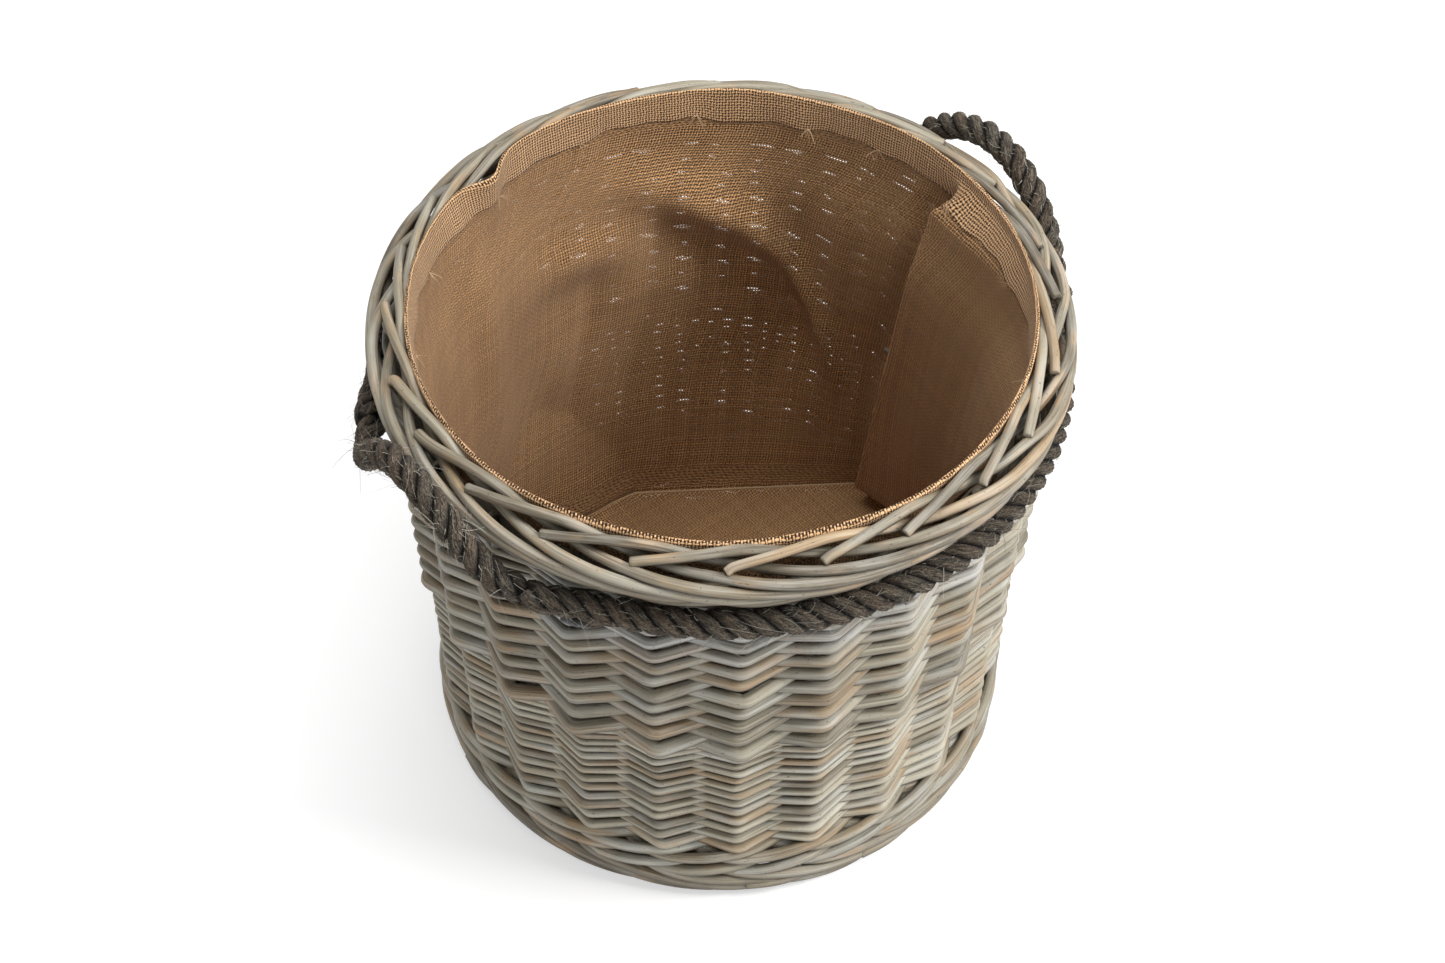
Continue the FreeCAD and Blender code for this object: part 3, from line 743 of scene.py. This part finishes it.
handle("right", RIGHT_ROUTE, 0.0, "handle_rope_right", "right_handle")
handle("left", LEFT_ROUTE, math.pi, "handle_rope_left", "left_handle")
for side, turn in (("back", 0.0), ("front", math.pi)):
    band = evenly(spline_points(side + "_route", band_route(turn)), 1.4 * MM)
    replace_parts(laid_rope("rope_round_" + side, band, "basket", False, 1.0), "rope_band_" + side)
    rope_hairs("rope_hairs_" + side, band, "basket", BAND_HAIRS)

# The rope's cut end, bound with tape, lies at the band's lower edge at the front left.
TAIL_RADIUS = 3.7 * MM
TAPE_RADIUS = 4.0 * MM
TAIL_POINTS, TAPE_FROM = 20, 15
binding_low, binding_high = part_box("rope_end_binding")
binding = (binding_low + binding_high) / 2
bind_angle = math.atan2(binding.y, binding.x)
bind_radius = math.hypot(binding.x, binding.y)
END_STATIONS = [(28.0, 0.0, 12.0), (18.0, 2.5, 7.0), (9.0, 3.4, 1.8), (-1.0, 3.2, -1.6), (-12.0, 2.2, -4.0)]
rows = smooth_through(END_STATIONS, 7)
end_line = round_z(bind_radius + rows[:, 1] * MM, bind_angle + rows[:, 0] * MM / bind_radius,
                   binding.z + rows[:, 2] * MM)
tail = rods("rope_tail", [(end_line[:TAIL_POINTS], TAIL_RADIUS)], ROPE, sides=18,
            lobes=(6, 0.07, 22 * MM))
mark_outward(tail.data, np.ones(len(tail.data.vertices)))
taped = end_line[TAPE_FROM:]
tape = [(taped, TAPE_RADIUS + 0.12 * MM * rng.normal(0, 1, len(taped)))]
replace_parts(rods("tape_binding", tape, TAPE, sides=22), "rope_end_binding")


# --- Hessian lining ---------------------------------------------------------------------------------
def bump_at(value, centre, width):
    return np.exp(-(((value - centre) / width) ** 2))


def wrapped(angle):
    return (angle + math.pi) % (2 * math.pi) - math.pi


SEAM_ANGLE = math.radians(-128)
COLUMNS = 720
ROWS_DOWN = 120
LINER_TOP = HEM_TOP - 2 * MM
FOLD_ANGLE = math.radians(-3)
FOLD_LEAN = math.radians(13)
PULL_ANGLE = math.radians(106)
BACK_ANGLE = math.radians(50)
CLOTH_THICKNESS = 0.35 * MM
HEM_THICKNESS = 0.8 * MM
FLOOR_THICKNESS = 1.1 * MM
WALL_CLEARANCE = 2.6 * MM


def lining_wall():
    """The lining's wall: hung from the hem, loose, with one deep overlapped fold and soft ones."""
    turn = SEAM_ANGLE + np.linspace(0, 2 * math.pi, COLUMNS + 1)
    drop = np.linspace(0, 1, ROWS_DOWN + 1)
    angle, down = np.meshgrid(turn, drop)
    height = LINER_TOP - FLOOR_Z
    z = LINER_TOP - down * height
    rise = np.clip((z - UPPER_TOP + 45 * MM) / (GROOVE_TOP - UPPER_TOP + 60 * MM), 0, 1)
    widest = outer(UPPER_TOP - 45 * MM)
    room = np.minimum(outer(z), widest) - 2 * WALL_HALF - WALL_CLEARANCE
    room = room + (HEM_RADIUS - 1.6 * MM - room) * rise**2 * (3 - 2 * rise)
    free = np.sin(np.clip(down * 1.15, 0, 1) * math.pi) ** 0.8
    inset = free * MM * (
        7.0 + 3.0 * np.sin(3 * angle + 5.0 * down + 0.4) + 1.8 * np.sin(7 * angle - 6.5 * down + 2.0)
        + 1.4 * np.sin(13 * angle + 9.0 * down) + 0.6 * np.sin(24 * angle - 11.0 * down)
    )
    # Drapes at the back: a long ridge that sweeps down, a level one beside it, and valleys.
    past = wrapped(angle - math.radians(48))
    sweep = 0.308 - 0.25 * past + 1.3 * np.minimum(past, 0) ** 2
    inset += 15 * MM * bump_at(down, sweep, 0.060) * bump_at(past, 0.0, 0.42)
    inset -= 7 * MM * bump_at(down, sweep + 0.13, 0.07) * bump_at(past, 0.0, 0.40)
    inset += 10 * MM * bump_at(down, 0.335, 0.055) * bump_at(wrapped(angle - math.radians(86)), 0, 0.24)
    valley = wrapped(angle - math.radians(38) + 0.30 * np.maximum(down - 0.75, 0) / 0.25)
    inset -= 8 * MM * free * bump_at(valley, 0, 0.09) * bump_at(down, 0.75, 0.25)
    inset += 9 * MM * free * bump_at(wrapped(angle - math.radians(25)), 0, 0.10) * bump_at(down, 0.7, 0.3)
    # On the left: a ridge by the mouth, and a crease that leans towards the front lower down.
    inset += 11 * MM * free * bump_at(wrapped(angle - math.radians(116)), 0, 0.11)
    crease = wrapped(angle - math.radians(84) - math.radians(32) * np.maximum(down - 0.48, 0))
    inset -= 5 * MM * free * bump_at(crease, 0, 0.045) * bump_at(down, 0.75, 0.28)
    # Low on the left the cloth bulges over the floor seam, with a sharp edge towards the back.
    slack = np.clip((down - 0.52) / 0.46, 0, 1)
    edge_side = np.clip(wrapped(angle - math.radians(60) - math.radians(14) * slack) / 0.10, 0, 1)
    far_side = np.exp(-(np.maximum(wrapped(angle - math.radians(92)), 0) / 0.36) ** 2)
    bulge = slack**2.2 * edge_side**2 * (3 - 2 * edge_side) * far_side
    # The deep fold: the cloth before it stands in and laps over the cloth behind it.
    opened = np.clip((down - 0.02) / 0.06, 0, 1) * np.clip((1.0 - down) / 0.06, 0.25, 1)
    away = wrapped(angle - FOLD_ANGLE - FOLD_LEAN * down)
    before = np.where(away < 0, np.exp(-((away / 0.42) ** 2)), np.exp(-((away / 0.035) ** 2)))
    inset *= 1 - 0.85 * opened * bump_at(away, 0, 0.22)
    inset += 24 * MM * opened * before
    inset -= 2 * MM * opened * bump_at(away, 0.10, 0.05)
    lap = opened * 0.075 * (bump_at(away, -0.035, 0.045) - bump_at(away, 0.05, 0.045))
    # The foot of the wall: pulled forward to a nearly straight seam at the back.
    facing = np.cos(wrapped(angle - BACK_ANGLE - math.radians(6)))
    straight = 0.150 / np.maximum(facing, 0.35)
    seam_radius = np.where(facing > 0.35, np.minimum(FLOOR_RADIUS, straight), FLOOR_RADIUS)
    low = np.clip((down - 0.52) / 0.48, 0, 1) ** 1.5
    radius = room - np.maximum(inset, 0.4 * MM)
    radius = radius + (np.minimum(seam_radius, radius) - radius) * low
    radius = np.where(down > 0.985, np.minimum(radius, seam_radius), radius)
    radius = np.minimum(radius, room - (room - 0.163) * bulge)
    pull = bump_at(wrapped(angle - PULL_ANGLE), 0, 0.085) * np.exp(-down / 0.16)
    radius = radius - 13 * MM * pull
    z = z + 1.2 * MM * np.sin(9 * angle) * np.exp(-down / 0.1) - 4 * MM * pull
    grid = round_z(radius, angle + lap, z)
    steps = np.linalg.norm(np.diff(grid, axis=1), axis=2)
    along = np.concatenate([np.zeros((len(drop), 1)), np.cumsum(steps, axis=1)], 1)
    flat = np.stack([along, -z, 0 * z], -1)
    return grid, flat, np.minimum(seam_radius[-1], radius[-1])


def cloth_mesh(name, grid, flat, material, thickness):
    rows, columns = grid.shape[:2]
    index = np.arange(rows * columns).reshape(rows, columns)
    faces = np.stack([index[:-1, :-1], index[1:, :-1], index[1:, 1:], index[:-1, 1:]], -1).reshape(-1, 4)
    cloth = {"cloth": flat.reshape(-1, 3)}
    piece = add_mesh(name, grid.reshape(-1, 3), faces.tolist(), cloth, material)
    solid = piece.modifiers.new("thickness", "SOLIDIFY")
    solid.thickness = thickness
    solid.offset = 0
    return piece


wall_grid, wall_flat, seam_radius = lining_wall()
lining = cloth_mesh("lining_wall", wall_grid, wall_flat, HESSIAN, CLOTH_THICKNESS)
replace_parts(lining, "liner_wall")
ALLOWANCE_ROWS = 15
outward = unit(wall_grid[-ALLOWANCE_ROWS:] * np.array([1, 1, 0]))
allowance_grid = wall_grid[-ALLOWANCE_ROWS:] + outward * 1.1 * MM
allowance_flat = wall_flat[-ALLOWANCE_ROWS:] + 1.3 * MM
allowance = cloth_mesh("lining_allowance", allowance_grid, allowance_flat, HESSIAN,
                       CLOTH_THICKNESS)

# The hem: a second thickness, turned over the top of the wall cloth, with a puckered lower edge.
turn = SEAM_ANGLE + np.linspace(0, 2 * math.pi, COLUMNS + 1)
pucker = 26 + 2.2 * np.sin(9 * turn + 0.5) + 1.4 * np.sin(23 * turn) + 0.9 * np.sin(41 * turn + 1.0)
HEM_DEPTH_ROWS = 14
HEM_FLAT_RADIUS = 0.222
hem_down = np.linspace(0, 1, HEM_DEPTH_ROWS)[:, None] * (pucker[None, :] * MM)
wall_down = along_line(wall_grid[:, 0, 2:])


def along_wall(column, depth):
    return np.stack([np.interp(depth, wall_down, wall_grid[:, column, k]) for k in range(3)], -1)


hem_inner = np.stack([along_wall(c, hem_down[:, c]) for c in range(COLUMNS + 1)], 1)
toward = -unit(hem_inner * np.array([1, 1, 0]))
ripple = (0.8 + 0.5 * np.sin(31 * turn)[None, :] * np.linspace(0, 1, HEM_DEPTH_ROWS)[:, None]) * MM
hem_inner = hem_inner + toward * ripple[..., None]
crest = hem_inner[0] * 0.5 + wall_grid[0] * 0.5 + np.array([0, 0, 1.5 * MM])
outside = wall_grid[:4] - toward[:1] * 1.5 * MM
outside[:, :, 2] = LINER_TOP - np.linspace(0, 1, 4)[:, None] * 9 * MM - 0.3 * MM
hem_grid = np.concatenate([outside[::-1], crest[None], hem_inner], 0)
hem_along = np.concatenate([[-9, -6, -3, -1, 0.6], 2 + np.linspace(0, 26, HEM_DEPTH_ROWS)]) * MM
hem_flat = np.zeros(hem_grid.shape)
hem_flat[..., 0] = turn[None, :] * HEM_FLAT_RADIUS
hem_flat[..., 1] = hem_along[:, None]
hem = cloth_mesh("lining_hem", hem_grid, hem_flat, HEM_HESSIAN_PAINTED_LIGHTER, HEM_THICKNESS)
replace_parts(hem, "liner_hem")

# The floor of the lining: a round piece, sewn in, a little slack.
share = np.linspace(0.02, 1, 60)[:, None]
edge = seam_radius[None, :]
floor_radius = share * edge
floor_lift = 1.6 * np.sin(5 * turn)[None, :] * share * (1 - share) * 4
floor_lift = floor_lift + 1.0 * np.sin(3 * turn + 2)[None, :] * share
floor_z = FLOOR_Z + (1.8 + np.maximum(floor_lift, -0.8)) * MM + 0 * floor_radius
floor_z = floor_z + 2.0 * MM * bump_at(share, 0.985, 0.02)
floor_grid = round_z(floor_radius, turn[None, :], floor_z)
floor_flat = floor_grid * np.array([1, 1, 0])
floor = cloth_mesh("lining_floor", floor_grid[::-1], floor_flat[::-1], HESSIAN, FLOOR_THICKNESS)
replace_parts(floor, "liner_floor")

# Cord of the seam where the floor is sewn to the wall, and tufts of loose thread at the hem.
TUFTS = 16
THREADS_EACH = 5
FIRST_TUFT = 106
seam_line = round_z(seam_radius - 0.8 * MM, turn, FLOOR_Z + 3.6 * MM + 0 * turn)
rods("lining_seam", [(seam_line, 0.9 * MM)], TUFT, sides=8)
tuft_lines = []
for tie in range(TUFTS):
    angle = math.radians(FIRST_TUFT + 360 / TUFTS * tie + rng.uniform(-4, 4))
    column = int(round(((angle - SEAM_ANGLE) % (2 * math.pi)) / (2 * math.pi) * COLUMNS))
    k = HEM_DEPTH_ROWS - 2
    root = hem_inner[k, column]
    inward = toward[k, column]
    along = np.array([-inward[1], inward[0], 0])
    for _ in range(THREADS_EACH):
        reach = rng.uniform(4, 13) * MM
        way = inward * rng.uniform(0.3, 0.9) + along * rng.normal(0, 0.7)
        way = way + np.array([0, 0, rng.uniform(-0.9, 0.2)])
        t = np.linspace(0, 1, 6)[:, None]
        line = root + inward * 0.6 * MM + reach * (t * unit(way) + t**2 * np.array([0, 0, -0.35]))
        tuft_lines.append((line, 0.28 * MM * (1 - 0.4 * t[:, 0])))
rods("hem_tufts", tuft_lines, TUFT, sides=5, up=(0.36, 0.48, 0.8))

# --- Ground, light and camera ------------------------------------------------------------------------
GROUND_SIZE = 60
GROUND_GLOW = 0.5
SKY_STRENGTH = 0.40


def stage():
    bpy.ops.mesh.primitive_plane_add(size=GROUND_SIZE, location=(0, 0, 0))
    ground = bpy.context.object
    ground.name = "studio_floor"
    n = Nodes("studio_floor")
    place = n.new("ShaderNodeTexCoord").outputs["Object"]
    soft = n.noise(place, 1.5, 1.0)
    colour = n.ramp(soft, [(0.0, (0.54, 0.54, 0.54)), (1.0, (0.56, 0.56, 0.56))])
    ground.data.materials.append(n.finish(colour, n.bump(soft, 0.01, 0.001), 0.9, specular=0.0))
    n.shader.inputs["Emission Color"].default_value = (1, 1, 1, 1)
    n.shader.inputs["Emission Strength"].default_value = GROUND_GLOW

    world = bpy.data.worlds.new("studio")
    bpy.context.scene.world = world
    world.use_nodes = True
    sky = world.node_tree.nodes["Background"]
    sky.inputs["Color"].default_value = (1.0, 1.0, 1.0, 1)
    sky.inputs["Strength"].default_value = SKY_STRENGTH
    bpy.context.scene.view_settings.view_transform = "Standard"


def area_light(name, place, target, width, power, colour=(1, 1, 1)):
    light = bpy.data.lights.new(name, "AREA")
    light.size = width
    light.energy = power
    light.color = colour
    lamp = bpy.data.objects.new(name, light)
    lamp.location = place
    lamp.rotation_euler = (Vector(target) - Vector(place)).to_track_quat("-Z", "Y").to_euler()
    bpy.context.scene.collection.objects.link(lamp)


VIEW_AZIMUTH = math.radians(-38)


def in_view(right, forward, up):
    """A place given from the camera's side: to its right, away from it, and up."""
    cosine, sine = math.cos(VIEW_AZIMUTH), math.sin(VIEW_AZIMUTH)
    return (right * cosine - forward * sine, right * sine + forward * cosine, up)


stage()
area_light("key", in_view(2.0, -0.4, 2.1), (0, 0, 0.25), 0.9, 73, (1.0, 0.99, 0.97))
area_light("top", in_view(-0.2, 0.5, 3.0), (0, 0, 0.2), 1.6, 58)
area_light("front", in_view(0.7, -2.6, 1.2), (0, 0, 0.3), 1.4, 20, (0.98, 0.99, 1.0))

AIM = Vector((0, 0, 0.213))
elevation, distance, roll = math.radians(49.9), 1.962, math.radians(-0.54)
right_way = Vector((math.cos(VIEW_AZIMUTH), math.sin(VIEW_AZIMUTH), 0))
back = Vector((math.sin(VIEW_AZIMUTH) * math.cos(elevation), -math.cos(VIEW_AZIMUTH) * math.cos(elevation),
               math.sin(elevation)))
up_way = back.cross(right_way)
image_right = right_way * math.cos(roll) - up_way * math.sin(roll)
image_up = right_way * math.sin(roll) + up_way * math.cos(roll)
camera_data = bpy.data.cameras.new("camera")
camera_data.sensor_width = 36
camera_data.lens = 62.28
camera_data.shift_x = 0.0017
camera_data.shift_y = 0.0112
camera = bpy.data.objects.new("camera", camera_data)
placed = Matrix((image_right, image_up, back)).transposed().to_4x4()
placed.translation = AIM + back * distance
camera.matrix_world = placed
bpy.context.scene.collection.objects.link(camera)
bpy.context.scene.camera = camera
